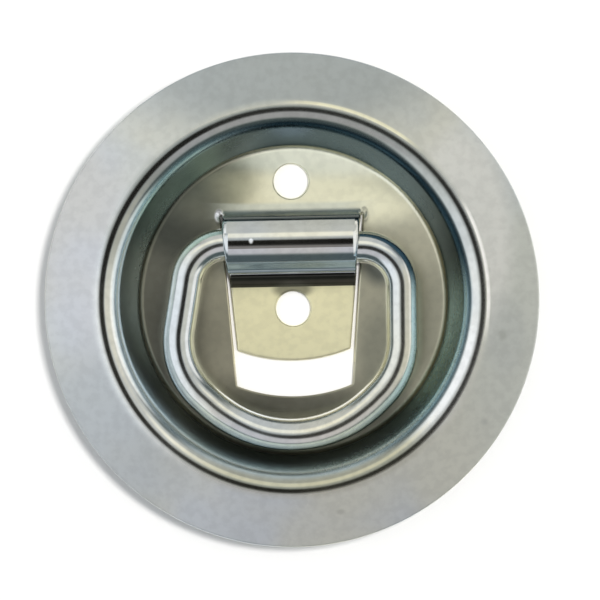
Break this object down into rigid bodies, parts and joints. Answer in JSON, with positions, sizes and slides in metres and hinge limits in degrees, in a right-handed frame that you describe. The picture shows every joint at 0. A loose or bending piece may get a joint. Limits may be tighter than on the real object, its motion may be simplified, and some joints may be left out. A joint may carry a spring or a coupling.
{
  "type": "recessed tie-down ring",
  "caption": "Round recessed steel pan with a D-shaped lashing ring that swings in a hinge hump formed from its floor.",
  "frame": {"origin": "centre of the underside of the pan's floor", "axes": "+Z out of the recess, +X along the hinge, +Y from the bow of the ring towards the hinge"},
  "size_m": [0.12, 0.12, 0.0165],
  "materials": {
    "plated_sheet": "bright zinc plate on pressed sheet, satin, with pale bluish and yellowish patches",
    "plated_bar": "bright zinc plate on smooth round bar, glossier than the sheet"
  },
  "bodies": {
    "pan": {"pan": "plated_sheet"},
    "ring": {"ring": "plated_bar"}
  },
  "joints": [
    {"name": "ring_swing", "type": "hinge", "parent": "pan", "child": "ring", "pos_m": [0, 0.0133, 0.0059], "axis": [-0.9993, 0.0384, 0], "range_deg": [0, 142]}
  ]
}
